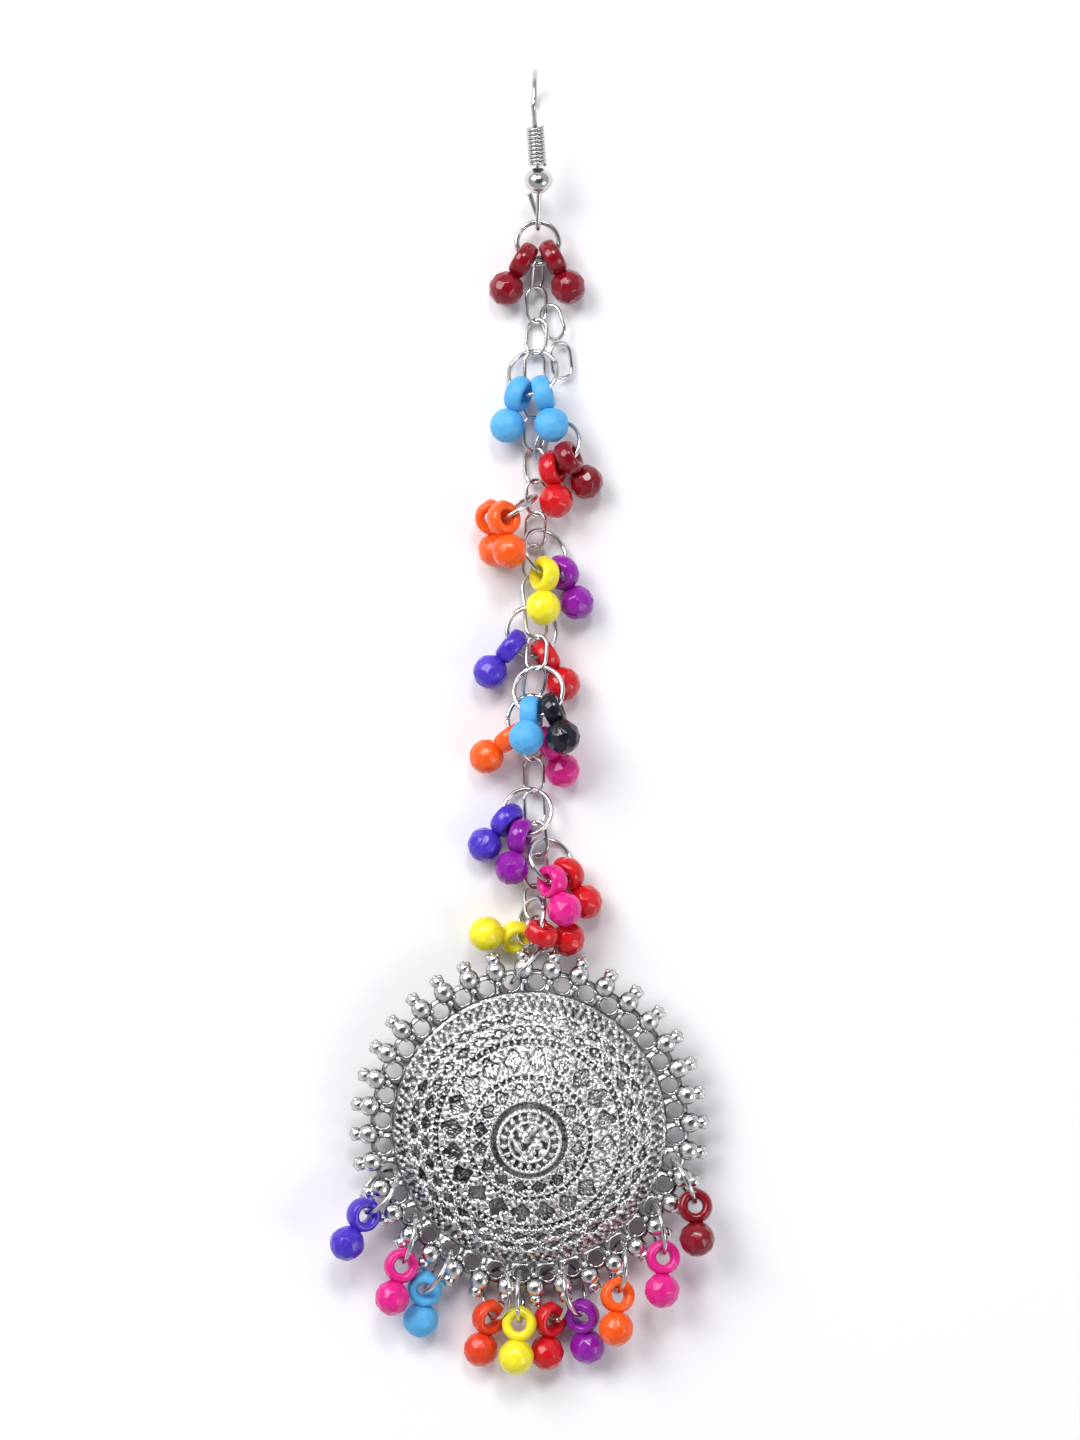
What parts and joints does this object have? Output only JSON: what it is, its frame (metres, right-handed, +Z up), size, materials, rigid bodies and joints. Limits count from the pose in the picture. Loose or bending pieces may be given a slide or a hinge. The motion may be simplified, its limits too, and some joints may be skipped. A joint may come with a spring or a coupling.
{
  "type": "earring",
  "caption": "Long chain earring lying flat: wire hook with coil and bead, curb chain carrying faceted drops on jump rings, and a domed pierced disc fringed with drops.",
  "frame": {"origin": "on the surface it lies on, under the middle of its bounding box", "axes": "+Y from the disc's drops to the ear wire, along the chain; +Z up from the surface, out of the disc's decorated face; +X across the disc"},
  "size_m": [0.0402, 0.1366, 0.0097],
  "materials": {
    "steel": "bright drawn wire",
    "plating": "bright nickel colour plating",
    "antique_silver": "bright silver plating with dark recesses",
    "drop_wine": "gloss dark red",
    "drop_sky": "satin light blue",
    "drop_red": "gloss red",
    "drop_orange": "gloss orange",
    "drop_ember": "gloss red-orange",
    "drop_yellow": "gloss yellow",
    "drop_purple": "gloss purple",
    "drop_violet": "gloss blue-violet",
    "drop_black": "gloss black",
    "drop_pink": "gloss pink"
  },
  "bodies": {
    "root": {"ear_hook": "steel", "hook_coil": "steel", "hook_bead": "plating", "top_ring": "plating", "chain": "plating", "end_ring": "plating", "disc": "antique_silver", "drop_ring_01": "plating", "drop_ring_02": "plating", "drop_ring_03": "plating", "drop_ring_04": "plating", "drop_ring_05": "plating", "drop_ring_06": "plating", "drop_ring_07": "plating", "drop_ring_08": "plating", "drop_ring_09": "plating", "drop_ring_10": "plating", "chain_charm_01": "drop_wine", "chain_charm_02": "drop_wine", "chain_charm_03": "drop_sky", "chain_charm_04": "drop_sky", "chain_charm_05": "drop_wine", "chain_charm_06": "drop_red", "chain_charm_07": "drop_orange", "chain_charm_08": "drop_orange", "chain_charm_09": "drop_yellow", "chain_charm_10": "drop_purple", "chain_charm_11": "drop_violet", "chain_charm_12": "drop_red", "chain_charm_13": "drop_sky", "chain_charm_14": "drop_black", "chain_charm_15": "drop_orange", "chain_charm_16": "drop_pink", "chain_charm_17": "drop_violet", "chain_charm_18": "drop_purple", "chain_charm_19": "drop_pink", "chain_charm_20": "drop_red", "chain_charm_21": "drop_yellow", "chain_charm_22": "drop_red", "drop_charm_01": "drop_violet", "drop_charm_02": "drop_pink", "drop_charm_03": "drop_sky", "drop_charm_04": "drop_ember", "drop_charm_05": "drop_yellow", "drop_charm_06": "drop_red", "drop_charm_07": "drop_purple", "drop_charm_08": "drop_orange", "drop_charm_09": "drop_pink", "drop_charm_10": "drop_wine"}
  },
  "joints": []
}
